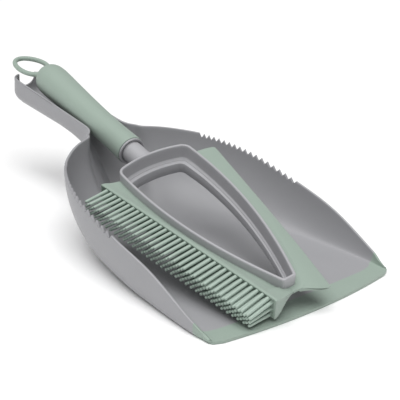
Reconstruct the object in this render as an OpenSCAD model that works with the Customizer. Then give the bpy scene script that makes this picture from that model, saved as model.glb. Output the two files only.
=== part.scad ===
// Dust pan with a two-sided rubber brush lying in it.
// Frame: +Z up, the pan stands on z = 0, +Y runs from the lip towards the handle,
// and the origin is the middle of the straight line between the two lip corners.
// Brush parts are drawn in the brush's own axes (x across, y from tip to butt, z = 0 at
// the top of the frame rim) and are then laid in the pan by in_pan().

/* [Pan] */
// Distance between the two lip corners
lip_w = 210; // [180:1:240]
// How far the lip's front edge bulges past its corners
lip_bulge = 8.4; // [4:0.1:14]
// Depth of the soft lip band on the floor
lip_depth = 14; // [8:1:24]
// Wall thickness of the pan
pan_wall = 2.4; // [1.8:0.1:3]
// Number of comb teeth on each side rim
comb_teeth = 18; // [6:1:20]
// Height of one comb tooth
comb_h = 3.6; // [2:0.1:5]

/* [Pan handle] */
// Outer width of the channel handle
channel_w = 41; // [39:0.5:44]
// How far behind the lip corners the handle ends
channel_end = 403; // [395:1:415]
// Width of the open hanging notch
notch_w = 18; // [10:1:22]
// Depth of the open hanging notch
notch_d = 14; // [8:1:16]

/* [Brush head] */
// Length of the frame from its tip to its back corners
head_len = 187; // [180:1:190]
// Half width of the frame at the tip
tip_half = 6.4; // [5:0.1:8]
// Half width of the frame at the back
back_half = 37; // [34:0.5:40]
// Bow of each side past its straight line
side_bow = 11.2; // [3:0.1:13]
// Bow of the back edge
back_bow = 7; // [4:0.5:9]
// Thickness of the frame from rim to underside
head_h = 22; // [20:0.5:23]
// Thickness of the rim wall
rim_t = 2.7; // [2:0.1:3]
// Width of the ledge inside the rim
ledge_w = 5.5; // [4:0.5:6]
// Depth of the ledge under the rim
ledge_d = 14; // [12:0.5:15]

/* [Rubber fingers] */
// Rows of fingers
finger_rows = 6; // [4:1:6]
// Fingers in one row
row_fingers = 34; // [24:1:34]
// Free length of a finger
finger_len = 26; // [20:1:27]
// Finger diameter at the root
finger_d1 = 3.5; // [2.8:0.1:3.6]
// Finger diameter at the tip
finger_d2 = 2.8; // [2:0.1:3]

/* [Squeegee blade] */
// Distance from the brush axis to the blade's edge beside the frame tip
blade_half = 35; // [32:0.5:38]
// Thickness of the blade at its edge
blade_t = 1.6; // [1.2:0.1:2]

/* [Brush handle] */
// Where the neck ends and the grip starts, from the frame tip
collar_y = 220; // [215:1:230]
// Where the grip is thickest, from the frame tip
butt_y = 361; // [355:1:368]
// Radius of the neck
neck_r = 10; // [9:0.1:10.5]
// Radius of the thin collar ring
collar_r = 13.2; // [12.5:0.1:13.6]
// Radius of the grip at its waist
waist_r = 12.9; // [12:0.1:13.5]
// Radius of the grip at the butt
butt_r = 16.3; // [15:0.1:17]
// Thickness of the hanging loop
loop_d = 4.6; // [4:0.1:6]

/* [How the brush lies] */
// Place of the frame tip in the pan
brush_pos = [-26, 0.5, 33];
// Turn about the vertical
brush_yaw = -4.1; // [-6:0.1:-3]
// Slope towards the lip
brush_pitch = 13; // [12:0.1:14]
// Lean towards the fingers
brush_roll = 11.9; // [10:0.1:12.5]

/* [Hidden] */
PAN_GREY = [0.55, 0.56, 0.57];
BRUSH_GREY = [0.62, 0.62, 0.64];
SAGE = [0.60, 0.69, 0.63];
PALE_SAGE = [0.66, 0.75, 0.68];
lip_half = lip_w / 2;
// Rim of the right half, from the lip corner to the middle of the back wall
RIM = [[lip_half, 0, 2.4], [109, 24, 13.5], [110.3, 70, 34], [110, 117, 46.5], [104, 170, 60],
       [88, 210, 68.5], [64, 235, 73.5], [34, 251, 77], [0, 256, 78]];
// Edge of the flat floor under each of those points
FLOOR = [[104, 0, 0], [104, 26, 0], [99, 68, 0], [91, 108, 0], [74, 150, 0],
         [54, 168, 0], [33, 181, 0], [15, 186, 0], [0, 187, 0]];
RIM_STEPS = 12;
WALL_STEPS = 9;
// Spans of the rim between which the comb runs, counted along RIM
COMB_FROM = 3.14;
COMB_TO = 5.28;
CHANNEL_RIM = 79.2;
CHANNEL_RIM_SLOPE = 0.149;
CHANNEL_START = 265;
CHANNEL_LOW = 57.6;
CHANNEL_ROUND = 14;
channel_r = channel_w / 2;
grip_z = -15;
plate_slope = 0.165;
plate_half = 25;
plate_ang = atan(plate_slope);
head_back = head_len + back_bow;
TIP_ROUND = 3;
BACK_ROUND = 9;
PLATE_TOP = -3.5;
PLATE_BOTTOM = -21;
FRONT_Y = -13;
REAR_Y = 182;

// ---- Shared geometry ----

// Point number i of a list, held at the ends
function held(p, i) = p[max(0, min(len(p) - 1, i))];

// Smooth curve through the points p, at t = 0 for the first and len(p) - 1 for the last
function curve(p, t) =
    let (i = min(len(p) - 2, floor(t)), f = t - i)
    let (a = held(p, i - 1), b = held(p, i), c = held(p, i + 1), d = held(p, i + 2))
    0.5 * (2 * b + (c - a) * f + (2 * a - 5 * b + 4 * c - d) * f * f
           + (3 * b - a - 3 * c + d) * f * f * f);

// Closed skin over a list of rings, each counterclockwise when seen from the lip side
module skin(rings) {
    n = len(rings[0]);
    last = len(rings) - 1;
    polyhedron(
        points = [for (r = rings) for (p = r) p],
        faces = concat(
            [[for (i = [n - 1 : -1 : 0]) i]],
            [[for (i = [0 : n - 1]) last * n + i]],
            [for (k = [0 : last - 1], i = [0 : n - 1])
                [k * n + i, (k + 1) * n + (i + 1) % n, (k + 1) * n + i]],
            [for (k = [0 : last - 1], i = [0 : n - 1])
                [k * n + i, k * n + (i + 1) % n, (k + 1) * n + (i + 1) % n]]),
        convexity = 8);
}

// ---- Pan ----

// Steps along the right half of the rim: even ones, and two for each comb tooth
comb_steps = [for (i = [0 : 2 * comb_teeth]) COMB_FROM + (COMB_TO - COMB_FROM) * i / (2 * comb_teeth)];
half_steps = concat([for (i = [0 : RIM_STEPS]) COMB_FROM * i / (RIM_STEPS + 0.5)], comb_steps,
                    [for (i = [1 : RIM_STEPS]) COMB_TO + (8 - COMB_TO) * i / RIM_STEPS]);
first_tooth = RIM_STEPS + 1;
last_tooth = first_tooth + 2 * comb_teeth;

// Drop of the rim at a step: the valleys of the comb lie deeper than its tips
function comb_drop(k) = k > first_tooth && k < last_tooth && (k - first_tooth) % 2 == 0 ? comb_h : 0;

// One upright slice of the wall, from the floor's edge to the rim, for the skin that lies
// in from the outside by inset and starts at height base
function slice(k, inset, base) =
    let (t = half_steps[k], r = curve(RIM, t), f = curve(FLOOR, t))
    let (way = [r[0] - f[0], r[1] - f[1]], reach = norm(way))
    let (dir = reach > 0.01 ? way / reach : [1, 0], run = max(0.2, reach - inset))
    let (top = max(base + 0.4, r[2]), low = max(base + 0.2, top - comb_h - 1))
    [for (j = [0 : WALL_STEPS])
        let (a = 90 * j / WALL_STEPS)
        let (z = base + (top - base) * (1 - cos(a)))
        [f[0] + dir[0] * run * sin(a), f[1] + dir[1] * run * sin(a),
         j == WALL_STEPS ? top - comb_drop(k) : min(z, low)]];

function mirrored(ring) = [for (p = ring) [-p[0], p[1], p[2]]];

// All slices from the right lip corner round the back to the left lip corner
function slices(inset, base) =
    let (n = len(half_steps))
    concat([for (k = [0 : n - 1]) slice(k, inset, base)],
           [for (k = [n - 2 : -1 : 0]) mirrored(slice(k, inset, base))]);

// Front edge of the floor from the left corner to the right corner
FRONT_STEPS = 16;
function front_edge(z) = [for (i = [1 : FRONT_STEPS - 1])
    let (x = lip_half * (2 * i / FRONT_STEPS - 1))
    [x * 0.99, -lip_bulge * (1 - pow(x / lip_half, 2)), z]];

// Tray with walls of even thickness, made as one closed surface
module tray() {
    outside = slices(0, 0);
    inside = slices(pan_wall, pan_wall - 0.1);
    m = len(outside);
    w = WALL_STEPS + 1;
    edge_low = front_edge(0);
    edge_top = front_edge(pan_wall - 0.1);
    e = len(edge_low);
    in0 = m * w;
    low0 = 2 * m * w;
    top0 = low0 + e;
    polyhedron(
        points = concat([for (s = outside) for (p = s) p], [for (s = inside) for (p = s) p],
                        edge_low, edge_top),
        faces = concat(
            [for (k = [0 : m - 2], j = [0 : w - 2]) each [
                [k * w + j, k * w + j + 1, (k + 1) * w + j + 1],
                [k * w + j, (k + 1) * w + j + 1, (k + 1) * w + j]]],
            [for (k = [0 : m - 2], j = [0 : w - 2]) each [
                [in0 + k * w + j, in0 + (k + 1) * w + j + 1, in0 + k * w + j + 1],
                [in0 + k * w + j, in0 + (k + 1) * w + j, in0 + (k + 1) * w + j + 1]]],
            [for (k = [0 : m - 2]) each [
                [k * w + w - 1, in0 + k * w + w - 1, in0 + (k + 1) * w + w - 1],
                [k * w + w - 1, in0 + (k + 1) * w + w - 1, (k + 1) * w + w - 1]]],
            [for (j = [0 : w - 2]) each [
                [j, in0 + j, in0 + j + 1],
                [j, in0 + j + 1, j + 1],
                [(m - 1) * w + j, in0 + (m - 1) * w + j + 1, in0 + (m - 1) * w + j],
                [(m - 1) * w + j, (m - 1) * w + j + 1, in0 + (m - 1) * w + j + 1]]],
            [concat([for (k = [0 : m - 1]) k * w], [for (i = [0 : e - 1]) low0 + i])],
            [concat([for (i = [e - 1 : -1 : 0]) top0 + i], [for (k = [m - 1 : -1 : 0]) in0 + k * w])],
            [for (i = [0 : e - 2]) each [
                [low0 + i, top0 + i, top0 + i + 1],
                [low0 + i, top0 + i + 1, low0 + i + 1]]],
            [[(m - 1) * w, in0 + (m - 1) * w, top0], [(m - 1) * w, top0, low0],
             [low0 + e - 1, top0 + e - 1, in0], [low0 + e - 1, in0, 0]]),
        convexity = 10);
}

// Height of the channel's rim, and of its underside, at distance y from the lip corners
function channel_top(y) = CHANNEL_RIM + CHANNEL_RIM_SLOPE * (y - CHANNEL_START);
function channel_low(y) = CHANNEL_LOW + 0.1 * (y - CHANNEL_START)
    + (y > channel_end - 22 ? 16 * (1 - sqrt(max(0, 1 - pow((y - channel_end + 22) / 23, 2)))) : 0);

// Half width of the channel: a flared mouth, straight sides and a rounded end
function channel_half(y) =
    y < 257 ? channel_r + 8
    : y < CHANNEL_START ? channel_r + 8 - sqrt(max(0, 64 - pow(CHANNEL_START - y, 2)))
    : y < channel_end - 18 ? channel_r
    : channel_r * pow(max(0, 1 - pow((y - channel_end + 18) / 18.3, 2.4)), 1 / 2.4);

// Round-bottomed cross-section of the channel at y, cut off at height top
function channel_ring(y, half, low, top) =
    let (r = CHANNEL_ROUND * half / channel_r)
    concat([[-half, y, top]],
           [for (a = [180 : 15 : 360]) [half * cos(a), y, low + r + r * sin(a)]],
           [[half, y, top]]);

CHANNEL_Y = [252, 254, 257, 258.5, 260.5, 262.5, 265, 275, 300, 330, 360, 388, 391, 393, 396, 399, 402,
             404.5, 406.5, 408.5, 410];

module channel_outside() skin([for (y = CHANNEL_Y)
    channel_ring(y, channel_half(y), channel_low(y), channel_top(y))]);

module channel_inside() skin(concat(
    [channel_ring(238, channel_r + 8 - pan_wall, channel_low(257) + pan_wall, 120)],
    [for (y = CHANNEL_Y) if (y < 409)
        let (back = y < 385 ? 0 : pan_wall * min(1, (y - 385) / 10))
        channel_ring(y - back * 1.1, max(4, channel_half(y) - pan_wall), channel_low(y) + pan_wall, 120)]));

// Open notch in the handle's end wall
module hanging_notch() {
    r = notch_w / 2;
    translate([0, channel_end - 16, channel_top(channel_end) - notch_d + r]) rotate([-90, 0, 0]) {
        cylinder(r = r, h = 30, $fn = 48);
        translate([-r, -40, 0]) cube([notch_w, 40, 30]);
    }
}

// Plan of the soft lip: a band along the front that reaches further back at the corners
module lip_plan(grow) {
    polygon(concat([[-130, -30], [130, -30], [130, 21 + grow]],
        [for (i = [0 : 24]) let (x = 106 - 212 * i / 24)
            [x, lip_depth - 1 + grow + 8 * pow(abs(x) / 106, 10)]],
        [[-130, 21 + grow]]));
}

// Everything behind the back wall, which counts as the handle
HANDLE_FROM = 257;
module behind() translate([-60, HANDLE_FROM, 0]) cube([120, 200, 130]);

module pan_shell() color(PAN_GREY) difference() {
    union() {
        tray();
        channel_outside();
    }
    channel_inside();
    behind();
    translate([0, 0, -1]) linear_extrude(40) lip_plan(0);
}

module pan_handle() color(PAN_GREY) difference() {
    intersection() {
        channel_outside();
        behind();
    }
    channel_inside();
    hanging_notch();
}

module pan_lip() color(SAGE) intersection() {
    tray();
    translate([0, 0, -1]) linear_extrude(40) lip_plan(0);
}

// ---- Brush ----

module in_pan() translate(brush_pos) rotate([0, 0, brush_yaw]) rotate([brush_pitch, 0, 0])
    rotate([0, -brush_roll, 0]) children();

// Half width of the frame at distance y from its tip
function side(y) = tip_half + (back_half - tip_half) * y / head_len
    + 4 * side_bow * (y / head_len) * (1 - y / head_len);

// Points that round the corner b between a and c to radius r
CORNER_STEPS = 8;
function corner(a, b, c, r) =
    let (u = (a - b) / norm(a - b), v = (c - b) / norm(c - b), half = acos(u * v) / 2)
    let (m = (u + v) / norm(u + v), e = (u - v) / norm(u - v), o = b + m * r / sin(half))
    [for (k = [0 : CORNER_STEPS])
        let (t = (90 - half) * (1 - 2 * k / CORNER_STEPS)) o + r * (e * sin(t) - m * cos(t))];

// Right half of the outline from the middle of the tip to the middle of the back edge
SIDE_STEPS = 14;
function side_point(i) = [side(head_len * i / SIDE_STEPS), head_len * i / SIDE_STEPS];
function back_point(i) =
    let (x = back_half * (1 - i / 4))
    [x, head_len + back_bow * (1 - pow(x / back_half, 2))];
half_iron = concat(
    corner([0, 0], side_point(0), side_point(1), TIP_ROUND),
    [for (i = [1 : SIDE_STEPS - 1]) side_point(i)],
    corner(side_point(SIDE_STEPS - 1), side_point(SIDE_STEPS), back_point(1), BACK_ROUND),
    [for (i = [1 : 4]) back_point(i)]);

// Iron-shaped outline of the frame, drawn in by inset
module iron(inset) offset(delta = -inset) polygon(concat(
    half_iron, [for (i = [len(half_iron) - 2 : -1 : 0]) [-half_iron[i][0], half_iron[i][1]]]));

module head_frame() color(BRUSH_GREY) in_pan() difference() {
    translate([0, 0, -head_h]) linear_extrude(head_h) iron(0);
    translate([0, 0, -ledge_d]) linear_extrude(ledge_d + 1) iron(rim_t);
    translate([0, 0, -head_h - 1]) linear_extrude(head_h) iron(rim_t + ledge_w);
}

// Turned parts of the handle share one axis, which starts at the frame's back wall
module on_axis(y) translate([0, y, grip_z]) rotate([-90, 0, 0]) children();

module handle_core() color(BRUSH_GREY) in_pan() difference() {
    on_axis(head_back - 1.5) rotate_extrude($fn = 64) polygon([
        [0, 0], [neck_r + 0.8, 0], [neck_r, 8], [neck_r, collar_y - head_back + 1.5],
        [neck_r - 1, collar_y - head_back + 3], [neck_r - 1, butt_y - head_back - 20],
        [0, butt_y - head_back - 20]]);
    translate([0, 0, -head_h]) linear_extrude(head_h) iron(0);
}

module collar_ring() color(BRUSH_GREY) in_pan() on_axis(collar_y) rotate_extrude($fn = 64)
    polygon([[neck_r, 0], [collar_r - 0.5, 0], [collar_r, 0.5], [collar_r, 1.8], [neck_r, 1.8]]);

grip_len = butt_y - collar_y;
// Profile of the grip: distance from the collar and radius
GRIP = [[1.8, 13.6], [12, 13.2], [40, waist_r], [75, 13.6], [110, 15.2], [grip_len, butt_r],
        [grip_len + 8, butt_r - 1.4], [grip_len + 14, butt_r - 5], [grip_len + 17, butt_r - 11]];

module grip() color(SAGE) in_pan() difference() {
    on_axis(collar_y) rotate_extrude($fn = 72) polygon(concat(
        [[0, 1.8]],
        [for (i = [0 : 40]) let (p = curve(GRIP, 8 * i / 40)) [p[1], p[0]]],
        [[0, grip_len + 17]]));
    on_axis(collar_y - 1) cylinder(r = neck_r - 1, h = butt_y - collar_y - 19, $fn = 64);
}

// Loop: lean towards the fingers, half length, half width and sideways shift
LOOP_LEAN = 17;
LOOP_LONG = 20.5;
LOOP_WIDE = 11;
LOOP_X = -6;
LOOP_LIFT = 2;
LOOP_TAPER = 0.12;
LOOP_STEPS = 36;
LOOP_SIDES = 10;
loop_mid = butt_y + 31.4;
// Centre line of the loop: a rounded teardrop whose narrow end meets the butt
function loop_at(a) =
    let(u = LOOP_LONG * cos(a), v = LOOP_WIDE * sin(a) * (1 - LOOP_TAPER * cos(a)))
    [LOOP_X + v * cos(LOOP_LEAN) - u * sin(LOOP_LEAN),
     loop_mid + u * cos(LOOP_LEAN) + v * sin(LOOP_LEAN),
     grip_z + LOOP_LIFT];
module hang_loop() color(SAGE) in_pan() {
    n = LOOP_STEPS;
    m = LOOP_SIDES;
    ring = [for (k = [0 : n - 1])
        let (a = 360 * k / n, p = loop_at(a), q = loop_at(a + 2) - loop_at(a - 2), d = q / norm(q))
        [for (j = [0 : m - 1])
            let (b = 360 * j / m) p + loop_d / 2 * (cos(b) * [d[1], -d[0], 0] + sin(b) * [0, 0, 1])]];
    difference() {
        polyhedron(
            points = [for (r = ring) for (p = r) p],
            faces = [for (k = [0 : n - 1], j = [0 : m - 1]) each [
                [k * m + j, ((k + 1) % n) * m + (j + 1) % m, ((k + 1) % n) * m + j],
                [k * m + j, k * m + (j + 1) % m, ((k + 1) % n) * m + (j + 1) % m]]],
            convexity = 6);
        on_axis(collar_y) translate([0, 0, 100]) cylinder(r = butt_r - 4, h = grip_len - 85, $fn = 48);
    }
}

// Distance of the finger plate from the brush axis at y
function plate(y) = plate_half + plate_slope * y;

// Stations along a carrier: in front of the tip, then where the frame's side has its corners
SEAM = 0.02;
function stations(front, rear) = concat([front, front / 2, -SEAM],
    [for (i = [0 : SIDE_STEPS - 1]) head_len * i / SIDE_STEPS], [rear]);

// Distance from the brush axis at which a carrier starts: the axis itself in front of the tip
SIDE_TABLE = [for (i = [0 : SIDE_STEPS]) [side_point(i)[1], side_point(i)[0]]];
function root_at(y) = y < 0 ? 0 : lookup(y, SIDE_TABLE);

// Funnel between the frame's left wall and the plate that the fingers stand on
PLATE_SKIN = 0.6;
module finger_carrier() color(SAGE) in_pan() skin([for (y = stations(FRONT_Y, REAR_Y))
    let (root = root_at(y), p = plate(y), t = y < 0 ? -10.5 : -6, mid = (root + p) / 2)
    [[-root, y, t], [-mid - 1, y, t / 2 - 2.4], [-p, y, PLATE_TOP], [-p - PLATE_SKIN, y, PLATE_TOP],
     [-p - PLATE_SKIN, y, PLATE_BOTTOM], [-p + 1.5, y, PLATE_BOTTOM], [-p + 5, y, -16], [-mid, y, -13.4],
     [-root, y, -13]]]);

ROW_TOP = -6.2;
ROW_STEP = 2.7;
TIP_STEP = 1.95;
RAIL_START = -10.5;
RAIL_LEN = 190.5;
RAIL_T = 1.2;
RAIL_H = 1.8;
finger_pitch = (RAIL_LEN - 6) / (row_fingers - 0.5);
// One moulded row: a thin rail with tapered fingers that lean together towards their tips
module finger_row(k) color(PALE_SAGE) in_pan()
    translate([-plate(0) - PLATE_SKIN, 0, ROW_TOP - ROW_STEP * (k - 1)]) rotate([0, 0, plate_ang]) {
        translate([-RAIL_T, RAIL_START, -RAIL_H / 2]) cube([RAIL_T, RAIL_LEN, RAIL_H]);
        for (i = [0 : row_fingers - 1])
            translate([-RAIL_T / 2, RAIL_START + 3 + finger_pitch * (i + (k % 2) / 2), 0])
                rotate([0, -90 + atan((ROW_STEP - TIP_STEP) * (k - 1) / finger_len), 0])
                    cylinder(d1 = finger_d1, d2 = finger_d2, h = finger_len + RAIL_T / 2, $fn = 16);
    }

// Distance of the blade's edge from the brush axis at y
function blade_edge(y) = blade_half + plate_slope * y;

BLADE_FRONT = -14;
BLADE_REAR = 181;
function blade_root(y) = y < 0 ? 4 + 5 * (y + 14) / 14 : root_at(y) + 6;

// Strip along the frame's right wall that carries the blade
module blade_carrier() color(SAGE) in_pan() skin([for (y = stations(BLADE_FRONT, BLADE_REAR))
    let (r = root_at(y), b = blade_root(y), t = y < 0 ? -10.5 : -5, mid = (r + b) / 2)
    [[r, y, -13], [mid, y, -12.5], [b, y, -10.6], [b, y, -8.6], [mid, y, t - 1.6], [r, y, t]]]);

// Thin blade that flares out and down from the carrier
module squeegee_blade() color(SAGE) in_pan() skin([for (y = stations(BLADE_FRONT, BLADE_REAR))
    let (b = blade_root(y), e = blade_edge(y), m = (b + e) / 2)
    [[b, y, -10.6], [m, y, -13.3], [e, y, -14.6], [e, y, -14.6 + blade_t], [m, y, -11.3], [b, y, -8.6]]]);

pan_shell();
pan_handle();
pan_lip();
head_frame();
handle_core();
collar_ring();
grip();
hang_loop();
finger_carrier();
finger_row(1);  // finger_row_1
finger_row(2);  // finger_row_2
finger_row(3);  // finger_row_3
finger_row(4);  // finger_row_4
finger_row(5);  // finger_row_5
finger_row(6);  // finger_row_6
blade_carrier();
squeegee_blade();
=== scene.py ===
import math
import random

import bmesh
import bpy
import numpy as np
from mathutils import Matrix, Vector


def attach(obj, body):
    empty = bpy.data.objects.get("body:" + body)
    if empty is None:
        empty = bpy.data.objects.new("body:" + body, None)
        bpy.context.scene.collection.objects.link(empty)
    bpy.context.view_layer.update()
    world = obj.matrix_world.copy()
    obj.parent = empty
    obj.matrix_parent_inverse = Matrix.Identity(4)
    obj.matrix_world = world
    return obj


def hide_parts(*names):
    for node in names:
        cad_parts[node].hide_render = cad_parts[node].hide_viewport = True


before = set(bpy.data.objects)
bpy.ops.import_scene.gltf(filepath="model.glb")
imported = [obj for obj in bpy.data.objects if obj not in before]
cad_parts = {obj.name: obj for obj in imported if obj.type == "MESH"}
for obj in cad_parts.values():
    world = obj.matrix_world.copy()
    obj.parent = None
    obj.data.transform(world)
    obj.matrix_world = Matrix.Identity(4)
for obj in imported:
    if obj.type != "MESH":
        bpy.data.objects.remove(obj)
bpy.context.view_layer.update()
MM = 0.001
SEED = 7


# ---------------------------------------------------------------- camera

CAM_AZ, CAM_EL, CAM_ROLL = math.radians(-44.306), math.radians(21.582), math.radians(3.839)
CAM_AT = (-0.5636, -0.4453, 0.3665)
CAM_LENS, CAM_SENSOR = 90.0, 36.0
CAM_NEAR, CAM_FAR = 0.02, 20


def make_camera():
    az, el, roll = CAM_AZ, CAM_EL, CAM_ROLL
    back = Vector((math.sin(az) * math.cos(el), -math.cos(az) * math.cos(el), math.sin(el)))
    right = Vector((math.cos(az), math.sin(az), 0))
    up = back.cross(right)
    x = math.cos(roll) * right + math.sin(roll) * up
    y = -math.sin(roll) * right + math.cos(roll) * up
    cam = bpy.data.cameras.new("camera")
    cam.lens, cam.sensor_width = CAM_LENS, CAM_SENSOR
    cam.clip_start, cam.clip_end = CAM_NEAR, CAM_FAR
    ob = bpy.data.objects.new("camera", cam)
    m = ob.matrix_world.copy()
    for r in range(3):
        m[r][0], m[r][1], m[r][2] = x[r], y[r], back[r]
    m[0][3], m[1][3], m[2][3] = CAM_AT
    ob.matrix_world = m
    bpy.context.scene.collection.objects.link(ob)
    bpy.context.scene.camera = ob


# ---------------------------------------------------------------- small tools

def held(p, i):
    return p[np.clip(i, 0, len(p) - 1)]


def curve(p, t):
    """Catmull-Rom curve through the rows of p at parameters t."""
    p = np.asarray(p, float)
    t = np.atleast_1d(np.asarray(t, float))
    i = np.clip(np.floor(t).astype(int), 0, len(p) - 2)
    f = (t - i)[:, None]
    a, b, c, d = held(p, i - 1), held(p, i), held(p, i + 1), held(p, i + 2)
    return 0.5 * (2 * b + (c - a) * f + (2 * a - 5 * b + 4 * c - d) * f ** 2
                  + (3 * b - a - 3 * c + d) * f ** 3)


def unit(v):
    return v / np.maximum(np.linalg.norm(v, axis=-1, keepdims=True), 1e-12)


def smooth(x, a, b):
    t = np.clip((x - a) / (b - a), 0, 1)
    return t * t * (3 - 2 * t)


MERGE, FLAT = 2e-6, 1e-6


def mesh_object(name, verts, faces, mats, body, stands_for=(), crease=40, pick=None):
    """Mesh from millimetre points, smooth except where faces meet at more than crease degrees."""
    me = bpy.data.meshes.new(name)
    me.from_pydata([tuple(v) for v in np.asarray(verts) * MM], [],
                   [tuple(int(i) for i in f) for f in faces])
    bm = bmesh.new()
    bm.from_mesh(me)
    bmesh.ops.remove_doubles(bm, verts=bm.verts, dist=MERGE)
    bmesh.ops.dissolve_degenerate(bm, edges=bm.edges, dist=FLAT)
    bmesh.ops.recalc_face_normals(bm, faces=bm.faces)
    for f in bm.faces:
        f.smooth = True
    limit = math.radians(crease)
    for e in bm.edges:
        e.smooth = not (len(e.link_faces) == 2 and e.calc_face_angle(0) > limit)
    bm.to_mesh(me)
    bm.free()
    for m in mats:
        me.materials.append(m)
    ob = bpy.data.objects.new(name, me)
    bpy.context.scene.collection.objects.link(ob)
    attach(ob, body)
    if stands_for:
        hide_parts(*stands_for)
    return ob


def grid_faces(rows, cols, start=0, wrap_rows=False, wrap_cols=False):
    f = []
    for r in range(rows if wrap_rows else rows - 1):
        for c in range(cols if wrap_cols else cols - 1):
            r2, c2 = (r + 1) % rows, (c + 1) % cols
            here, there = start + r * cols, start + r2 * cols
            f.append((here + c, here + c2, there + c2, there + c))
    return f


# ---------------------------------------------------------------- pan

LIP_HALF = 105.0
THICK = 2.3
FLOOR_Z = 2.4
# The wall's rim and the floor's edge, from the lip's corner round to the middle of the back
RIM = np.array([[105, 0, FLOOR_Z], [109, 24, 13.5], [110.3, 70, 34], [110, 117, 46.5], [104, 170, 60],
                [88, 210, 68.5], [64, 235, 73.5], [34, 251, 77], [0, 256, 78]], float)
FLOOR = np.array([[104, 0, 0], [104, 26, 0], [99, 68, 0], [91, 108, 0], [74, 150, 0],
                  [54, 168, 0], [33, 181, 0], [15, 186, 0], [0, 187, 0]], float)
# Stations along the wall: the comb, the part behind the bend, and the last one before the handle
COMB_FROM, COMB_TO, TEETH, TOOTH = 3.02, 5.38, 18, 4.4
T_BACK, T_MIDDLE, T_LAST = 5.0, 8.0, 7.2
# The channel handle: outer half width, bottom rounding, end, and heights and slopes from its start
CH_OUT = 20.5
CH_HALF = CH_OUT - THICK
CH_ROUND = 14.0 * CH_HALF / CH_OUT
CH_START, CH_END, CH_Y = 265, 403.0, 385.0
CH_RIM_Z, CH_RIM_SLOPE = 79.2, 0.149
CH_LOW_Z, CH_LOW_SLOPE = 57.6, 0.1
END_RUN, END_RISE = 22, 16


def ch_rim(y):
    return CH_RIM_Z + CH_RIM_SLOPE * (y - CH_START)


def ch_low(y):
    """Inner bottom of the channel, which climbs in an arc over its last stretch."""
    y = np.asarray(y, float)
    rise = np.clip(1 - ((y - CH_END + END_RUN) / (END_RUN + 1)) ** 2, 0, 1)
    climb = np.where(y > CH_END - END_RUN, END_RISE * (1 - np.sqrt(rise)), 0)
    return CH_LOW_Z + THICK + CH_LOW_SLOPE * (y - CH_START) + climb


def tray_station(xy):
    """Station t along the wall whose plan ray passes through each point, and how far out it is."""
    lo, hi = np.full(len(xy), T_BACK), np.full(len(xy), T_MIDDLE)

    def cross(t):
        f, r = curve(FLOOR, t)[:, :2], curve(RIM, t)[:, :2]
        d = unit(r - f)
        w = xy - f
        return d[:, 0] * w[:, 1] - d[:, 1] * w[:, 0], (w * d).sum(1), np.linalg.norm(r - f, axis=1)

    for _ in range(40):
        mid = (lo + hi) / 2
        c, _, _ = cross(mid)
        lo, hi = np.where(c > 0, lo, mid), np.where(c > 0, mid, hi)
    c, rho, reach = cross(lo)
    return lo, rho, reach


def tray_gap(p):
    """Roughly how far each point lies outside the hollow of the tray, near its back wall."""
    q = p.copy()
    q[:, 0] = np.abs(q[:, 0]) + 1e-6
    t, rho, reach = tray_station(q[:, :2])
    h = curve(RIM, t)[:, 2] - FLOOR_Z
    run = reach - THICK
    a = np.clip(rho, 0, None) / run
    b = np.clip(h + FLOOR_Z - q[:, 2], 0, None) / h
    s = np.sqrt(a * a + b * b) + 1e-9
    return (s - 1) * s / (np.sqrt((a / run) ** 2 + (b / h) ** 2) + 1e-9)


def channel_gap(p):
    """Roughly how far each point lies outside the hollow of the handle."""
    low = ch_low(np.maximum(p[:, 1], 250))
    x, d = np.abs(p[:, 0]), np.clip(low + CH_ROUND - p[:, 2], 0, None)
    a, b = x / CH_HALF, d / CH_ROUND
    s = np.sqrt(a * a + b * b) + 1e-9
    return (s - 1) * s / (np.sqrt((a / CH_HALF) ** 2 + (b / CH_ROUND) ** 2) + 1e-9)


MOUTH = 7.0
NUDGE = 0.05


def mouth_gap(p):
    """The two hollows joined, with a fillet of about MOUTH between them."""
    a, b = tray_gap(p), channel_gap(p)
    h = np.clip(0.5 + 0.5 * (b - a) / MOUTH, 0, 1)
    return b * (1 - h) + a * h - MOUTH * h * (1 - h)


def settle(p, hold_z=False, steps=14):
    """Moves points onto the surface where the tray opens into the handle."""
    p = p.copy()
    for _ in range(steps):
        g = mouth_gap(p)
        grad = np.zeros_like(p)
        for k in range(2 if hold_z else 3):
            e = np.zeros(3)
            e[k] = NUDGE
            grad[:, k] = (mouth_gap(p + e) - mouth_gap(p - e)) / (2 * NUDGE)
        n2 = np.maximum((grad ** 2).sum(1), 0.05)
        p -= 0.8 * (g / n2)[:, None] * grad
    return p


WALL_ROWS = 26
FLOOR_ROWS = 14
ROWS_ALL = FLOOR_ROWS + WALL_ROWS + 1
LIP_TOP = 2.9
# The lip's front edge and the line where it meets the tray both bow forwards in the middle
FRONT_BOW, BAND_BOW, BAND_HALF, BAND_FADE = 8.4, 8.0, 106, 45
BAND_Y = 21.0
_ts = np.linspace(0, 2, 2001)
T_BAND = float(_ts[np.argmin(np.abs(curve(FLOOR, _ts)[:, 1] - BAND_Y))])


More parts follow.
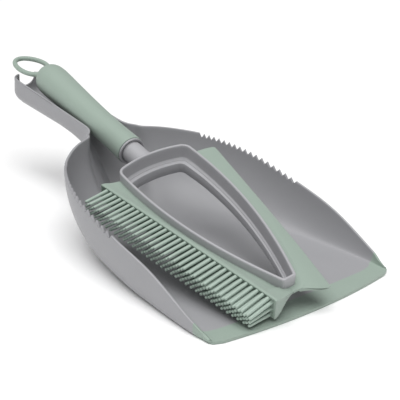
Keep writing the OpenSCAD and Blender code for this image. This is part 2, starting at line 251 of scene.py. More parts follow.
def tray_column(t):
    """Half a cross row: from the middle of the floor out to the floor's edge and up to the rim."""
    r, f = curve(RIM, t)[0], curve(FLOOR, t)[0]
    way = r[:2] - f[:2]
    reach = np.linalg.norm(way)
    d = way / reach
    run = max(0.3, reach - THICK)
    top = max(r[2], LIP_TOP)
    base = FLOOR_Z
    a = np.linspace(0, 1, WALL_ROWS + 1) ** 0.85 * math.pi / 2
    wall = np.stack([f[0] + d[0] * run * np.sin(a), f[1] + d[1] * run * np.sin(a),
                     base + (top - base) * (1 - np.cos(a))], 1)
    u = np.linspace(0, 1, FLOOR_ROWS, endpoint=False)
    x = f[0] * u
    front = FRONT_BOW * (1 - (x / LIP_HALF) ** 2)
    band = BAND_BOW * (1 - np.abs(x / BAND_HALF) ** 10)
    if t <= T_BAND:
        s = t / T_BAND
        y = f[1] - (front * (1 - s) + band * s)
    else:
        y = f[1] - band * np.clip(1 - (f[1] - BAND_Y) / BAND_FADE, 0, 1) ** 2
    floor = np.stack([x, y, np.full_like(x, base)], 1)
    return np.vstack([floor, wall])


# The mouth between tray and handle: where it ends, its corner, and its columns
MOUTH_Y, MOUTH_TOP, MOUTH_TOP_Y = 272.0, 78.2, 257
MOUTH_CORNER = np.array([CH_HALF + 1.5, 254.5, MOUTH_TOP])
N_MOUTH, N_STRAIGHT = 34, 22
# Columns before and after the mouth that are eased with it, how often, and how firmly the rim holds
EASE_BEFORE, EASE_AFTER, EASE_PASSES, RIM_HOLD, RIM_ROWS = 12, 8, 80, 0.8, 9
END_NOTCH_R, END_NOTCH_DEEP = 9.0, 14
# The end of the channel is a superellipse of this power
END_POWER, END_GAP = 1.2, 1.2
END_Y = CH_Y - 2


def inner_columns():
    """Half of the pan's inside as columns from its middle line to its rim, front to back."""
    teeth = [COMB_FROM + (COMB_TO - COMB_FROM) * i / (2 * TEETH) for i in range(2 * TEETH + 1)]
    fine = []
    for a, b in zip(teeth[:-1], teeth[1:]):
        fine += [a, a * 0.5 + b * 0.5]
    fine.append(teeth[-1])
    lip = [T_BAND * i / 8 for i in range(8)]
    ts = (lip + list(np.linspace(T_BAND, COMB_FROM, 34, endpoint=False)) + fine
          + list(np.linspace(COMB_TO, T_LAST, 36)[1:]))
    cols = [tray_column(t) for t in ts]
    drop = np.zeros(len(ts))
    for i in range(2 * TEETH):
        t0, t1 = teeth[i], teeth[i + 1]
        for k, t in enumerate(ts):
            if t0 <= t <= t1:
                s = (t - t0) / (t1 - t0)
                drop[k] = TOOTH * (s if i % 2 == 0 else 1 - s)
    n_lip = len(lip)
    # Round the mouth: rim points run from the tray's rim round into the handle's rim
    first = cols[-1]
    rim0 = first[-1]
    rim1 = np.array([CH_HALF, MOUTH_Y, ch_rim(MOUTH_Y)])
    s = np.linspace(0, 1, N_MOUTH + 1)[1:]
    rim = (((1 - s) ** 2)[:, None] * rim0 + (2 * s * (1 - s))[:, None] * MOUTH_CORNER
           + (s ** 2)[:, None] * rim1)
    rim[:, 2] = np.interp(rim[:, 1], [rim0[1], MOUTH_TOP_Y, CH_START, MOUTH_Y],
                          [rim0[2], MOUTH_TOP, CH_RIM_Z, ch_rim(MOUTH_Y)])
    rim = settle(rim, hold_z=True)
    # The line along the middle: floor edge, up the back wall, over into the handle's floor
    a = np.linspace(0, 1, 200) * math.pi / 2
    edge, brow = FLOOR[-1], RIM[-1]
    up = np.stack([np.zeros(len(a)), edge[1] + (brow[1] - edge[1] - THICK) * np.sin(a),
                   FLOOR_Z + (brow[2] - FLOOR_Z) * (1 - np.cos(a))], 1)
    up = up[up[:, 2] < ch_low(brow[1] - 1) + 1]
    along = np.stack([np.zeros(60), np.linspace(up[-1, 1] + 0.5, MOUTH_Y, 60),
                      ch_low(np.linspace(brow[1] - 4, MOUTH_Y, 60))], 1)
    spine = settle(np.vstack([up, along]))
    spine[:, 0] = 0
    arc = np.concatenate([[0], np.cumsum(np.linalg.norm(np.diff(spine, axis=0), axis=1))])
    at = s ** 0.9 * arc[-1]
    mid = np.stack([np.interp(at, arc, spine[:, k]) for k in range(3)], 1)
    end_col = channel_column(MOUTH_Y)
    span = end_col[-1] - end_col[0]
    guesses = []
    for k in range(N_MOUTH):
        w = smooth(s[k], 0, 1)
        reach = rim[k] - mid[k]
        guess0 = mid[k] + (first - first[0]) * (reach / (first[-1] - first[0] + 1e-9))
        guess1 = mid[k] + (end_col - end_col[0]) * (reach / np.where(np.abs(span) < 1e-6, 1e9, span))
        guess1[:, 1] = mid[k][1] + reach[1] * np.linspace(0, 1, ROWS_ALL)
        guesses.append(guess0 * (1 - w) + guess1 * w)
    settled = settle(np.array(guesses).reshape(-1, 3), steps=20).reshape(N_MOUTH, ROWS_ALL, 3)
    settled[:, 0] = mid
    settled[:, -1] = rim
    cols += list(settled)
    # Straight channel and its rounded end
    cols += [channel_column(y) for y in np.linspace(MOUTH_Y, END_Y, N_STRAIGHT)[1:]]
    cols += [end_column(phi) for phi in END_ANGLES]
    cols = np.array(cols)
    drop = np.append(drop, np.zeros(len(cols) - len(drop)))
    # The mouth's corner is eased into a fillet
    soft = np.zeros(len(cols))
    soft[len(ts) - EASE_BEFORE:len(ts) + N_MOUTH + EASE_AFTER] = 1
    inside = 1 - RIM_HOLD * smooth(np.arange(ROWS_ALL), ROWS_ALL - RIM_ROWS, ROWS_ALL - 1)
    for _ in range(EASE_PASSES):
        mean = (np.roll(cols, 1, 0) + np.roll(cols, -1, 0)) / 2
        cols += 0.5 * (soft[:, None] * inside[None, :])[:, :, None] * (mean - cols)
    # Open notch in the end wall
    clip = cols[:, -1, 2] - drop
    cx = np.abs(cols[:, -1, 0])
    tail = np.arange(len(cols)) >= len(cols) - len(END_ANGLES)
    centre = ch_rim(CH_END) - END_NOTCH_DEEP + END_NOTCH_R
    notch = centre - np.sqrt(np.clip(END_NOTCH_R ** 2 - cx ** 2, 0, None))
    clip = np.where(tail & (cx < END_NOTCH_R - 0.005), np.minimum(clip, notch), clip)
    return cols, clip, n_lip


ROUND_SHARE = 0.62


def channel_column(y):
    """Half a cross row of the straight channel: a round bottom, then an upright side."""
    m = int(ROWS_ALL * ROUND_SHARE)
    a = np.linspace(0, math.pi / 2, m)
    x = CH_HALF * np.sin(a)
    z = float(ch_low(y)) + CH_ROUND * (1 - np.cos(a))
    zs = np.linspace(z[-1], ch_rim(y), ROWS_ALL - m + 1)[1:]
    return np.stack([np.concatenate([x, np.full(len(zs), CH_HALF)]), np.full(ROWS_ALL, y),
                     np.concatenate([z, zs])], 1)


# Angles round the end, with two close together where the notch begins
_cut = math.degrees(math.acos((END_NOTCH_R / CH_HALF) ** END_POWER))
END_ANGLES = ([a for a in np.linspace(4, 56, 16) if a < _cut - 1] + [_cut - 0.05, _cut + 0.05]
              + list(np.linspace(_cut + 1.2, 89.0, 15)))
END_LIFT = 0.6


def end_column(phi):
    """Half a cross row of the end, whose wall stands upright over a rounded bottom."""
    c, s = math.cos(math.radians(phi)), math.sin(math.radians(phi))
    x = CH_HALF * c ** (1 / END_POWER)
    y = END_Y + (CH_END - END_GAP - THICK - END_Y) * s ** (1 / END_POWER)
    full = channel_column(END_Y)
    lowest = full[0, 2]
    t = (full[:, 2] - lowest) / (full[-1, 2] - lowest)
    side = full[:, 0] / CH_HALF
    base = float(ch_low(END_Y)) + END_LIFT
    return np.stack([x * side, END_Y + (y - END_Y) * side ** 0.9, base + (ch_rim(y) - base) * t], 1)


def pan():
    """Inside and outside points of half the pan, and how many columns belong to the lip."""
    cols, clip, n_lip = inner_columns()
    k, n, _ = cols.shape
    # Normals of the inside, from its own neighbours and their mirror images
    left = cols[:, 1:2] * [-1, 1, 1]
    wide = np.concatenate([left, cols], 1)
    du = np.gradient(wide, axis=1)[:, 1:]
    dv = np.gradient(cols, axis=0)
    nor = unit(np.cross(dv, du))
    flip = nor[:, n // 2, 2] < 0
    nor[flip] *= -1
    nor[:, :FLOOR_ROWS][np.arange(k) < k - N_STRAIGHT - len(END_ANGLES) - N_MOUTH] = [0, 0, 1]
    nor[:, 0, 0] = 0
    nor = unit(nor)
    # Even out the normals a little, along the wall only
    for _ in range(2):
        nor[1:-1] = unit(nor[1:-1] * 2 + nor[:-2] + nor[2:])
    pts, out = cols.copy(), cols - nor * THICK
    # Bring each column's rows down to its own rim
    for i in range(k):
        z = cols[i, :, 2]
        if clip[i] < z[-1] - 1e-4:
            cut = np.minimum(z, clip[i])[FLOOR_ROWS:]
            climb = np.maximum.accumulate(z[FLOOR_ROWS:]) + np.arange(len(cut)) * 1e-7
            for arr in (pts, out):
                for c in range(3):
                    arr[i, FLOOR_ROWS:, c] = np.interp(cut, climb, arr[i, FLOOR_ROWS:, c])
    return pts, out, n_lip


CORNER_R = 5.0
SNUG = 0.9985
BEAD, BEAD_LIFT = 5, 0.95


def round_lip_corner(v):
    """Rounds the two front corners of the lip in plan."""
    over = np.clip(np.abs(v[:, 0]) - (LIP_HALF - CORNER_R), 0, CORNER_R)
    back = CORNER_R - np.sqrt(CORNER_R ** 2 - over ** 2)
    out = v.copy()
    out[:, 1] += back * np.clip(1 - v[:, 1] / (4.0 * CORNER_R), 0, 1)
    return out


def shell(name, pts, out, mats, body, stands_for):
    """Closed skin from the inside and outside halves, with a rounded rim between them."""
    k = len(pts)
    th = np.linspace(0, math.pi, BEAD + 2)
    rim_in, rim_out = pts[:, -1].copy(), out[:, -1].copy()
    cap = []
    for a in th:
        w = (1 - math.cos(a)) / 2
        rise = BEAD_LIFT * (math.sin(a) ** 0.8) - BEAD_LIFT
        cap.append(rim_in * (1 - w) + rim_out * w + np.array([0, 0, 1]) * rise)
    cap = np.stack(cap, 1)
    pts[:, -1] = cap[:, 0]
    out[:, -1] = cap[:, -1]
    half_ring = np.concatenate([pts, cap[:, 1:-1], out[:, ::-1]], 1)
    m = half_ring.shape[1]
    ring = np.concatenate([half_ring, half_ring[:, ::-1] * [-1, 1, 1]], 1)
    verts = round_lip_corner(ring.reshape(-1, 3)) * [SNUG, 1, 1]
    faces = grid_faces(k, 2 * m, wrap_cols=True) + strip_cap(0, m)
    last = (k - 1) * 2 * m
    if abs(verts[last, 1]) > 100:
        # The two halves of the end wall meet
        faces += [(last + i, last + i + 1, last + 2 * m - 2 - i, last + 2 * m - 1 - i)
                  for i in range(m - 1)]
    else:
        faces += [f[::-1] for f in strip_cap(k - 1, m)]
    return mesh_object(name, verts, faces, mats, body, stands_for, crease=55)


def strip_cap(row, m):
    """Closes the gap between inside and outside along one row of the skin."""
    f = []
    base = row * 2 * m
    for j in range(m // 2):
        a, b = j, m - 1 - j
        if a + 1 >= b:
            break
        f.append((base + a, base + a + 1, base + b - 1, base + b))
        a2, b2 = 2 * m - 1 - j, m + j
        f.append((base + a2, base + b2, base + b2 + 1, base + a2 - 1))
    return f


# ---------------------------------------------------------------- brush

POS = np.array([-26, 0.5, 33.0])
YAW, PITCH, ROLL = math.radians(-4.1), math.radians(13), math.radians(11.9)
HEAD, TIP_HALF, BACK_HALF, SIDE_BOW, BACK_BOW = 187.0, 6.4, 37.0, 11.2, 7.0
GRIP_Z = -15.0
RIM_T = 2.7
COLLAR = 220.0


def turn():
    cy, sy, cp, sp, cr, sr = (math.cos(YAW), math.sin(YAW), math.cos(PITCH), math.sin(PITCH),
                              math.cos(-ROLL), math.sin(-ROLL))
    rz = np.array([[cy, -sy, 0], [sy, cy, 0], [0, 0, 1]])
    rx = np.array([[1, 0, 0], [0, cp, -sp], [0, sp, cp]])
    ry = np.array([[cr, 0, sr], [0, 1, 0], [-sr, 0, cr]])
    return rz @ rx @ ry


TURN = turn()


def in_pan(p):
    return np.asarray(p, float) @ TURN.T + POS


def side(y):
    u = y / HEAD
    return TIP_HALF + (BACK_HALF - TIP_HALF) * u + 4 * SIDE_BOW * u * (1 - u)


def side_slope(y):
    return (BACK_HALF - TIP_HALF) / HEAD + 4 * SIDE_BOW / HEAD * (1 - 2 * y / HEAD)


def side_in(y, ins):
    return side(y) - ins * np.sqrt(1 + side_slope(y) ** 2)


def back_in(x, ins):
    slope = 2 * BACK_BOW * x / BACK_HALF ** 2
    return HEAD + BACK_BOW * (1 - (x / BACK_HALF) ** 2) - ins * np.sqrt(1 + slope ** 2)


def round_corner(b, u, v, r, n):
    """Arc of radius r in the corner b whose edges leave along u and v, from the u side to the v side."""
    u, v = unit(np.array(u, float)), unit(np.array(v, float))
    half = math.acos(float(np.clip(u @ v, -1, 1))) / 2
    m, e = unit(u + v), unit(u - v)
    o = b + m * r / math.sin(half)
    t = np.linspace(math.pi / 2 - half, -(math.pi / 2 - half), n)[:, None]
    return o + r * (e * np.sin(t) - m * np.cos(t))


# How far the ledge reaches in at the tip and at the back, and the corners' radii
LEDGE_TIP, LEDGE_BACK = 11.0, 6.8
TIP_R, BACK_R = 3.2, 10.0
CORNER_EASE = 14


def ledge(y):
    return np.interp(y, [0, 94, 150, 187], [2.6, 4.0, 5.2, 6.8])


def frame_ring(k, z):
    """Outline of the frame at height z; k = 0 at the outer wall, 1 inside the rim, 2 at the window."""
    over = max(0.0, k - 1)
    part = min(k, 1.0)

    def ins(y):
        return RIM_T * part + over * ledge(y)
    tip = RIM_T * part + over * LEDGE_TIP
    back = RIM_T * part + over * LEDGE_BACK
    r_tip = TIP_R - 1.6 * part + over * 0.6
    r_back = BACK_R - 2.4 * part - 1.6 * over
    a = np.array([float(side_in(tip, ins(tip))), tip])
    y = HEAD - back
    for _ in range(30):
        x = float(side_in(y, ins(y)))
        y = float(back_in(x, back))
    c = np.array([x, y])
    tan0 = np.array([float(side_slope(tip)), 1.0])
    tan1 = np.array([-float(side_slope(y)), -1.0])
    slope = 2 * BACK_BOW * x / BACK_HALF ** 2
    arc0 = round_corner(a, (-1, 0), tan0, min(r_tip, a[0] * 0.75), 11)
    arc1 = round_corner(c, tan1, (-1, slope), r_back, 17)
    ys = np.linspace(arc0[-1, 1], arc1[0, 1], 40)[1:-1]
    sides = np.stack([side_in(ys, ins(ys)), ys], 1)
    # The sides are eased into the two corner arcs
    fix0 = ((arc0[-1, 0] - side_in(arc0[-1, 1], ins(arc0[-1, 1])))
            * (1 - smooth(ys, ys[0], ys[0] + CORNER_EASE)))
    fix1 = ((arc1[0, 0] - side_in(arc1[0, 1], ins(arc1[0, 1])))
            * smooth(ys, ys[-1] - CORNER_EASE, ys[-1]))
    sides[:, 0] += fix0 + fix1
    xs = np.linspace(arc1[-1, 0], 0, 14)[1:]
    fix = (arc1[-1, 1] - float(back_in(arc1[-1, 0], back))) * (xs / arc1[-1, 0]) ** 2
    rear = np.stack([xs, back_in(xs, back) + fix], 1)
    half = np.vstack([[[0, tip]], arc0, sides, arc1, rear])
    full = np.vstack([half, half[-2:0:-1] * [-1, 1]])
    return np.column_stack([full, np.full(len(full), z)])


WALL_FROM = -15


def head_frame():
    """The open frame, as outlines (how far in, height) from outside over the rim and the ledge."""
    prof = [(0, -24.4), (0, -14), (0, -8), (0, -1.5), (0.06, -0.8), (0.22, -0.25), (0.5, 0), (0.78, -0.25),
            (0.94, -0.8), (1.0, -1.5), (1.0, -6), (1.0, -12.6), (1.03, -13.2), (1.12, -13.5), (1.42, -13.55),
            (1.47, -13.65), (1.5, -14.2), (1.56, -14.35), (1.86, -14.4), (1.96, -14.55), (2.0, -15.0),
            (2.0, -20),
            (2.0, -24.6), (1.93, -25.1), (1.8, -25.2), (0.6, -25.2), (0.1, -25.0)]
    rings = []
    for k, height in prof:
        ring = frame_ring(k, height)
        # The walls reach down less towards the tip
        z = ring[:, 2]
        share = 0.5 + 0.5 * ring[:, 1] / HEAD
        ring[:, 2] = np.where(z < WALL_FROM, WALL_FROM + (z - WALL_FROM) * share, z)
        rings.append(in_pan(ring))
    n = len(rings[0])
    v = np.vstack(rings)
    return mesh_object("head_frame_shell", v, grid_faces(len(rings), n, wrap_rows=True, wrap_cols=True),
                       [brush_mat], "brush", ["head_frame"], crease=50)


def lathe(name, profile, mats, stands_for, segs=96, crease=40):
    """Profile of (distance along the handle, radius) turned about the handle's axis."""
    prof = np.array(profile, float)
    a = np.arange(segs) * 2 * math.pi / segs
    rings = [np.stack([r * np.cos(a), np.full(segs, y), GRIP_Z + r * np.sin(a)], 1) for y, r in prof]
    v = in_pan(np.vstack(rings))
    f = grid_faces(len(rings), segs, wrap_cols=True)
    for end, ring in ((0, 0), (1, len(rings) - 1)):
        if prof[ring, 1] > 0.01:
            f.append(tuple(ring * segs + i for i in (range(segs) if end else reversed(range(segs)))))
    return mesh_object(name, v, f, mats, "brush", stands_for, crease=crease)


def handle():
    lathe("handle_neck",
          [(192.6, 10.9), (195, 10.5), (198, 10.2), (202, 10.0), (212, 10.0), (COLLAR + 2.5, 10.0)],
          [brush_mat], ["handle_core"])
    lathe("grip_collar", [(COLLAR + y, r) for y, r in
                          [(1.3, 10.0), (1.0, 10.7), (0.35, 11.1), (0.0, 11.7), (-0.05, 12.5), (0.1, 12.95),
                           (0.5, 13.15), (1.4, 13.15), (1.75, 13.0), (1.9, 12.6), (2.3, 12.5)]],
          [brush_mat], ["collar_ring"], crease=60)
    ctrl = np.array([[2.1, 12.5], [2.15, 13.2], [2.6, 13.6], [7, 13.55], [23, 13.1], [43, 12.95], [73, 13.6],
                     [108, 15.0], [131, 16.1], [140, 16.25], [147, 15.7], [152, 14.0], [155.3, 11.4],
                     [157.1, 8.0],
                     [157.8, 4.5], [157.95, 0.01]]) + [COLLAR, 0]
    t = np.linspace(0, len(ctrl) - 1, 110)
    prof = curve(ctrl, t)
    prof[:, 1] = np.clip(prof[:, 1], 0.005, 16.4)
    prof = prof[np.concatenate([[True], np.diff(prof[:, 0]) > 1e-4])]
    lathe("grip_sleeve", prof, [lip_mat], ["grip"], crease=35)


LOOP_MID, LOOP_LONG, LOOP_WIDE, LOOP_X = 392.4, 20.2, 12.4, -7.5
LOOP_LEAN, LOOP_R, LOOP_ROOT = math.radians(17), 2.4, 0.7
LOOP_TAPER, LOOP_LIFT, LOOP_DROOP = 0.12, 4.9, 0.025


def hang_loop():
    n, m = 96, 18
    a = np.arange(n) * 2 * math.pi / n
    u, w = LOOP_LONG * np.cos(a), LOOP_WIDE * np.sin(a) * (1 - LOOP_TAPER * np.cos(a))
    c, d = math.cos(LOOP_LEAN), math.sin(LOOP_LEAN)
    pth = np.stack([LOOP_X + w * c - u * d, LOOP_MID + u * c + w * d,
                    GRIP_Z + LOOP_LIFT - LOOP_DROOP * (u + LOOP_LONG)], 1)
    tan = unit(np.roll(pth, -1, 0) - np.roll(pth, 1, 0))
    up = np.array([0, 0, 1.0])
    sidev = unit(np.cross(tan, up))
    up2 = np.cross(sidev, tan)
    rad = LOOP_R + LOOP_ROOT * smooth(-np.cos(a), 0.55, 1.0)
    b = np.arange(m) * 2 * math.pi / m
    rings = (pth[:, None] + rad[:, None, None] * (np.cos(b)[None, :, None] * sidev[:, None]
                                                  + np.sin(b)[None, :, None] * up2[:, None]))
    mesh_object("hang_loop_cord", in_pan(rings.reshape(-1, 3)),
                grid_faces(n, m, wrap_rows=True, wrap_cols=True),
                [lip_mat], "brush", ["hang_loop"])


PLATE_AT, SPREAD = 25, 0.165


def plate(y):
    """Distance of the finger plate from the brush's axis at y."""
    return PLATE_AT + SPREAD * y


def loft(name, rings, mats, stands_for, crease=40):
    """Solid through rings of equal length, closed at both ends."""
    rings = np.array(rings, float)
    k, m, _ = rings.shape
    v = in_pan(rings.reshape(-1, 3))
    f = grid_faces(k, m, wrap_cols=True)
    f.append(tuple(reversed(range(m))))
    f.append(tuple((k - 1) * m + i for i in range(m)))
    return mesh_object(name, v, f, mats, "brush", stands_for, crease=crease)


FRONT = -13.0
REAR = 182.0


def root_x(y):
    """Where the rubber starts under the frame: from the middle line in front of the tip."""
    return 0.0 if y < 2.5 else side(y) - 2.0


def plate_rise(y):
    """The plate's top edge climbs a little towards the tip."""
    return 2.4 * (1 - (y + 13) / 200)


def carrier_ring(y, lip):
    p = plate(y)
    f = 1 - float(smooth(y, -2, 26))
    root = root_x(y)
    top = -8.6 * (1 - f) - 11.0 * f
    under = -13.0
    w = p - root
    rise = plate_rise(y)
    face = p + (1.8 if lip else 0.7)
    ease = 0.5 * math.exp(-((y - FRONT) / 1.2) ** 2) + 0.4 * math.exp(-((y - REAR) / 1.0) ** 2)
    # Over the top, round its edge, down the face, round the foot, and back underneath
    t0 = [(-root, top), (-root - 0.3 * w, top + 1.0 + 0.6 * f + 0.3 * rise),
          (-root - 0.62 * w, -6.0 - 1.0 * f + 0.7 * rise), (-p + 2.2, -4.0 - 0.5 * f + rise),
          (-p + 0.6, -3.45 - ease + rise)]
    t1 = [(-p + 0.6, -3.45 - ease + rise), (-p - 0.2, -3.2 - ease + rise), (-p - 1.2, -3.25 - ease + rise),
          (-p - 1.8, -3.8 - ease + rise)]
    t2 = [(-p - 1.8, -3.8 - ease + rise), (-p - 1.8, -4.6 + rise), (-face, -4.9 + rise), (-face, -12),
          (-face, -19.6), (-p - 1.8, -19.9), (-p - 1.8, -20.7)]
    t3 = [(-p - 1.8, -20.7), (-p - 1.4, -21.2), (-p - 0.6, -21.3), (-p + 0.3, -21.0)]
    t4 = [(-p + 0.3, -21.0), (-p + 0.3 + 0.26 * (w - 4), -18.6 + 0.6 * f),
          (-p + 0.3 + 0.5 * (w - 4), -15.6 + 0.6 * f),
          (-root - 3, under - 0.3), (-root, under)]
    xz = np.vstack([curve(t0, np.linspace(0, 4, 14))[:-1], curve(t1, np.linspace(0, 3, 6))[:-1],
                    np.array(t2)[:-1], curve(t3, np.linspace(0, 3, 6))[:-1],
                    curve(t4, np.linspace(0, 4, 14))])
    return np.column_stack([xz[:, 0], np.full(len(xz), y), xz[:, 1]])


NOTCH_DEEP, NOTCH_X, NOTCH_WIDE, NOTCH_REACH = 8.5, 2.0, 15.0, 18.0
BLADE_FRONT, BLADE_REAR = -14.0, 181.0


def cut_back(rings):
    """The front edge between the finger block and the blade's corner is cut back in a hollow."""
    rings = np.array(rings, float)
    x, y = rings[:, :, 0], rings[:, :, 1]
    depth = NOTCH_DEEP * np.exp(-np.abs((x - NOTCH_X) / NOTCH_WIDE) ** 2.4)
    rings[:, :, 1] = y + depth * np.clip(1 - (y - BLADE_FRONT) / NOTCH_REACH, 0, 1)
    return rings


def finger_carrier():
    ys = [FRONT, FRONT + 0.25, FRONT + 0.7, FRONT + 1.3, FRONT + 1.9]
    ys += list(np.linspace(-10.9, 2.45, 15)) + [2.55] + list(np.linspace(4, 180.2, 70))
    ys += [180.8, 181.3, 181.7, REAR]
    # A thin flange frames the face at its two ends
    rings = [carrier_ring(y, y < -10.95 or y > 180.5) for y in ys]
    loft("finger_carrier_rubber", cut_back(rings), [lip_mat], ["finger_carrier"])


ROW_TOP, ROW_STEP, ROWS, PER_ROW = -6.2, 2.7, 6, 34
F_LEN, F_R1, F_R2, F_SEGS = 26.0, 1.62, 1.3, 14
RAIL_START, RAIL_LEN, RAIL_MARGIN = -10.5, 190.5, 3
# Height of the tips of the top and the bottom row, along the row
TIP_AT, TIP_TOP, TIP_LOW = [0, 0.12, 0.5, 1], [-5.4, -4.4, -2.6, -4.6], [-14.6, -16.4, -17.6, -16.6]
# How far along a finger each ring sits, and its radius there as a share: a swollen root, a round tip
F_STEPS = [(0, 1.25), (0.5, 1.1), (1.3, 1.0), (F_LEN * 0.35, 1), (F_LEN * 0.7, 1), (F_LEN - 0.9, 1),
           (F_LEN - 0.35, 0.86), (F_LEN - 0.08, 0.55), (F_LEN, 0.18)]


def finger_rows():
    rnd = random.Random(SEED)
    ang = math.atan(SPREAD)
    along = np.array([-math.sin(ang), math.cos(ang), 0])
    outw = np.array([-math.cos(ang), -math.sin(ang), 0])
    up = np.array([0, 0, 1.0])
    pitch = (RAIL_LEN - 2 * RAIL_MARGIN) / (PER_ROW - 0.5)
    b = np.arange(F_SEGS) * 2 * math.pi / F_SEGS
    for k in range(1, ROWS + 1):
        base = np.array([-plate(0) - 0.6, 0, ROW_TOP - ROW_STEP * (k - 1)])
        share = (k - 1) / (ROWS - 1)
        verts, faces = [], []
        for i in range(PER_ROW):
            run = RAIL_START + RAIL_MARGIN + pitch * (i + (k % 2) / 2)
            part = (run - RAIL_START) / RAIL_LEN
            top, low = np.interp(part, TIP_AT, TIP_TOP), np.interp(part, TIP_AT, TIP_LOW)
            root_z = base[2] + plate_rise(run) * (1 - share)
            lean = math.atan((top + (low - top) * share - root_z) / F_LEN)
            o = np.array([base[0], base[1], root_z]) + along * run - outw * 0.2
            d = unit(outw * math.cos(lean) + up * math.sin(lean)
                     + along * rnd.uniform(-0.012, 0.012) + up * rnd.uniform(-0.004, 0.010))
            sag = rnd.uniform(0.0, 0.25)
            e1 = unit(np.cross(d, up))
            e2 = np.cross(e1, d)
            n0 = len(verts)
            for s, g in F_STEPS:
                r = (F_R1 + (F_R2 - F_R1) * s / F_LEN) * g
                c = o + d * s + up * sag * (s / F_LEN) ** 2
                verts += [c + r * (math.cos(t) * e1 + math.sin(t) * e2) for t in b]
            faces += grid_faces(len(F_STEPS), F_SEGS, start=n0, wrap_cols=True)
            faces.append(tuple(n0 + (len(F_STEPS) - 1) * F_SEGS + j for j in range(F_SEGS)))
            faces.append(tuple(n0 + j for j in reversed(range(F_SEGS))))
        mesh_object("finger_row_%d_rubber" % k, in_pan(np.array(verts)), faces, [finger_mat], "brush",
                    ["finger_row_%d" % k], crease=60)


EDGE_AT = 35
SEAM_GAP, SEAM_START, SEAM_BULGE = 7, 6.0, 13.0 * 0.55
BLADE_CORNER = 3


def blade_edge(y):
    return EDGE_AT + SPREAD * y


def seam_x(y):
    """Where the strip beside the frame ends and the blade begins."""
    if y < 0:
        return SEAM_START + SEAM_BULGE * math.sqrt(max(0.0, 1 - (y / BLADE_FRONT) ** 2))
    return side(y) + SEAM_GAP


def strip_ring(y):
    root = root_x(y)
    f = 1 - float(smooth(y, -2, 26))
    b = seam_x(y)
    top = -6.0 * (1 - f) - 11.0 * f
    edge = blade_top(y, b)
    t0 = [(root, -13.0), (root * 0.5 + b * 0.5, -12.6), (b, edge - 2.0)]
    t1 = [(b, edge), (b - 0.25, edge + 0.22), (b - 0.6, edge + 0.3),
          (root * 0.45 + b * 0.55, (top * 0.35 + edge * 0.65) + 0.25), (root, top)]
    xz = np.vstack([curve(t0, np.linspace(0, 2, 7)), curve(t1, np.linspace(0, 4, 16))])
    return np.column_stack([xz[:, 0], np.full(len(xz), y), xz[:, 1]])


def blade_top(y, x):
    """Height of the blade's upper face: it leaves the frame flat and curves down towards the edge."""
    b, e = seam_x(y), blade_edge(y)
    g = (x - b) / (e - b)
    drop = np.interp(y, [-14, 30, 90, 181], [6.2, 4.8, 3.6, 3.0])
    start = np.interp(y, [-14, 0, 30, 60, 181], [-10.9, -10.6, -9.4, -9.0, -8.9])
    return start - drop * (0.35 * g + 0.65 * g * g)


def blade_ring(y):
    b = seam_x(y)
    e = blade_edge(y)
    # The far corners are rounded off
    for end, sgn in ((BLADE_FRONT, 1), (BLADE_REAR, -1)):
        d = (y - end) * sgn
        if d < BLADE_CORNER:
            e -= BLADE_CORNER - math.sqrt(max(0, BLADE_CORNER ** 2 - (BLADE_CORNER - d) ** 2))
    g = np.linspace(0, 1, 16)
    x = b + (e - b) * g
    top = np.array([blade_top(y, v) for v in x])
    th = 2.1 * (1 - g) ** 1.5 + 1.25
    low = top - th
    edge = [(e + 0.3, top[-1] - 0.35), (e + 0.35, top[-1] - 0.65), (e + 0.3, top[-1] - 0.95)]
    xz = np.vstack([np.column_stack([x, top]), edge, np.column_stack([x, low])[::-1]])
    return np.column_stack([xz[:, 0], np.full(len(xz), y), xz[:, 1]])


def blade():
    ys = ([BLADE_FRONT, BLADE_FRONT + 0.15, BLADE_FRONT + 0.5, BLADE_FRONT + 1, BLADE_FRONT + 2,
           BLADE_FRONT + 3]
          + list(np.linspace(-10, 2.45, 14)) + [2.55] + list(np.linspace(4, 178, 60))
          + [179, 180, 180.5, 180.85, 181])
    loft("blade_strip_rubber", cut_back([strip_ring(y) for y in ys]), [lip_mat],
         ["blade_carrier"])
    loft("squeegee_blade_rubber", cut_back([blade_ring(y) for y in ys]), [lip_mat],
         ["squeegee_blade"])


# ---------------------------------------------------------------- materials

MOTTLE_SCALE, GRAIN_DEPTH, ROUGH_SPREAD = 35, 0.0004, 0.05


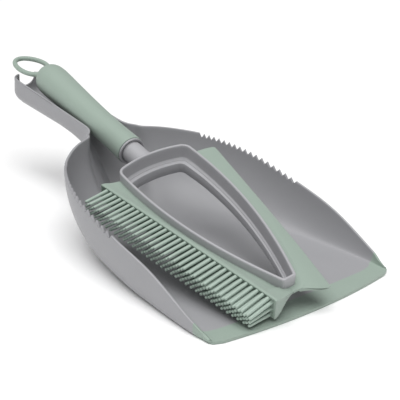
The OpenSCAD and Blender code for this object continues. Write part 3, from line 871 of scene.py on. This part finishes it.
def material(name, color, rough, bump, scale, sheen=0.0, mottled=0.03):
    """Moulded plastic or rubber: faint mottling in colour and roughness, and a fine grain."""
    m = bpy.data.materials.new(name)
    m.use_nodes = True
    nt = m.node_tree
    bsdf = nt.nodes["Principled BSDF"]
    bsdf.inputs["Roughness"].default_value = rough
    bsdf.inputs["Specular IOR Level"].default_value = 0.45
    if sheen:
        bsdf.inputs["Sheen Weight"].default_value = sheen
        bsdf.inputs["Sheen Roughness"].default_value = 0.6
    geo = nt.nodes.new("ShaderNodeTexCoord")
    big = nt.nodes.new("ShaderNodeTexNoise")
    big.inputs["Scale"].default_value = MOTTLE_SCALE
    big.inputs["Detail"].default_value = 4
    nt.links.new(geo.outputs["Object"], big.inputs["Vector"])
    ramp = nt.nodes.new("ShaderNodeMapRange")
    ramp.inputs["To Min"].default_value = 1 - mottled
    ramp.inputs["To Max"].default_value = 1 + mottled
    nt.links.new(big.outputs["Fac"], ramp.inputs["Value"])
    mix = nt.nodes.new("ShaderNodeVectorMath")
    mix.operation = "SCALE"
    mix.inputs[0].default_value = color
    nt.links.new(ramp.outputs["Result"], mix.inputs["Scale"])
    nt.links.new(mix.outputs["Vector"], bsdf.inputs["Base Color"])
    fine = nt.nodes.new("ShaderNodeTexNoise")
    fine.inputs["Scale"].default_value = scale
    fine.inputs["Detail"].default_value = 2
    nt.links.new(geo.outputs["Object"], fine.inputs["Vector"])
    b = nt.nodes.new("ShaderNodeBump")
    b.inputs["Strength"].default_value = bump
    b.inputs["Distance"].default_value = GRAIN_DEPTH
    nt.links.new(fine.outputs["Fac"], b.inputs["Height"])
    nt.links.new(b.outputs["Normal"], bsdf.inputs["Normal"])
    rr = nt.nodes.new("ShaderNodeMapRange")
    rr.inputs["To Min"].default_value = rough - ROUGH_SPREAD
    rr.inputs["To Max"].default_value = rough + ROUGH_SPREAD
    nt.links.new(big.outputs["Fac"], rr.inputs["Value"])
    nt.links.new(rr.outputs["Result"], bsdf.inputs["Roughness"])
    return m


def lin(*rgb):
    """Linear colour from 0 to 255 display values."""
    return tuple(((c / 255 + 0.055) / 1.055) ** 2.4 for c in rgb)


# ---------------------------------------------------------------- stage

FLOOR_HALF, FLOOR_DROP, FLOOR_TONE = 6.0, 0.0002, 0.95
WORLD_STRENGTH = 0.31
LIGHT_TARGET = (0, 0.18, 0.03)


def make_stage():
    me = bpy.data.meshes.new("floor")
    corners = [(-1, -1), (1, -1), (1, 1), (-1, 1)]
    me.from_pydata([(x * FLOOR_HALF, y * FLOOR_HALF, -FLOOR_DROP) for x, y in corners], [], [(0, 1, 2, 3)])
    floor = bpy.data.objects.new("floor", me)
    bpy.context.scene.collection.objects.link(floor)
    m = bpy.data.materials.new("floor_paint")
    m.use_nodes = True
    b = m.node_tree.nodes["Principled BSDF"]
    b.inputs["Base Color"].default_value = (FLOOR_TONE, FLOOR_TONE, FLOOR_TONE, 1)
    b.inputs["Roughness"].default_value = 0.9
    b.inputs["Specular IOR Level"].default_value = 0.1
    me.materials.append(m)
    world = bpy.data.worlds.new("studio")
    bpy.context.scene.world = world
    world.use_nodes = True
    bg = world.node_tree.nodes["Background"]
    bg.inputs["Color"].default_value = (1, 1, 1, 1)
    bg.inputs["Strength"].default_value = WORLD_STRENGTH
    bpy.context.scene.view_settings.view_transform = "Standard"

    def area(name, loc, size, power):
        d = bpy.data.lights.new(name, "AREA")
        d.shape = "DISK"
        d.size = size
        d.energy = power
        o = bpy.data.objects.new(name, d)
        o.location = loc
        o.rotation_mode = "QUATERNION"
        o.rotation_quaternion = (Vector(loc) - Vector(LIGHT_TARGET)).to_track_quat("Z", "Y")
        bpy.context.scene.collection.objects.link(o)

    def sun(name, way, width, power):
        d = bpy.data.lights.new(name, "SUN")
        d.angle = math.radians(width)
        d.energy = power
        o = bpy.data.objects.new(name, d)
        o.rotation_mode = "QUATERNION"
        o.rotation_quaternion = Vector(way).to_track_quat("Z", "Y")
        bpy.context.scene.collection.objects.link(o)

    sun("key", (-0.28, -0.05, 1.0), 62, 2.5)
    area("fill", (-0.2, -0.6, 1.2), 1.0, 3)


make_camera()
brush_mat = material("brush_grey", lin(168, 168, 171), 0.40, 0.2, 2600)
finger_mat = material("pale_sage_rubber", lin(164, 181, 170), 0.5, 0.2, 2200, sheen=0.1)
pan_mat = material("pan_grey", lin(156, 156, 159), 0.42, 0.25, 2600)
lip_mat = material("sage_rubber", lin(147, 163, 152), 0.55, 0.3, 2200, sheen=0.15)
pts, out, n_lip = pan()
shell("pan_shell_skin", pts[n_lip:].copy(), out[n_lip:].copy(), [pan_mat], "dustpan",
      ["pan_shell", "pan_handle"])
shell("pan_lip_skin", pts[:n_lip + 1].copy(), out[:n_lip + 1].copy(), [lip_mat], "dustpan",
      ["pan_lip"])
head_frame()
handle()
hang_loop()
finger_carrier()
finger_rows()
blade()
make_stage()
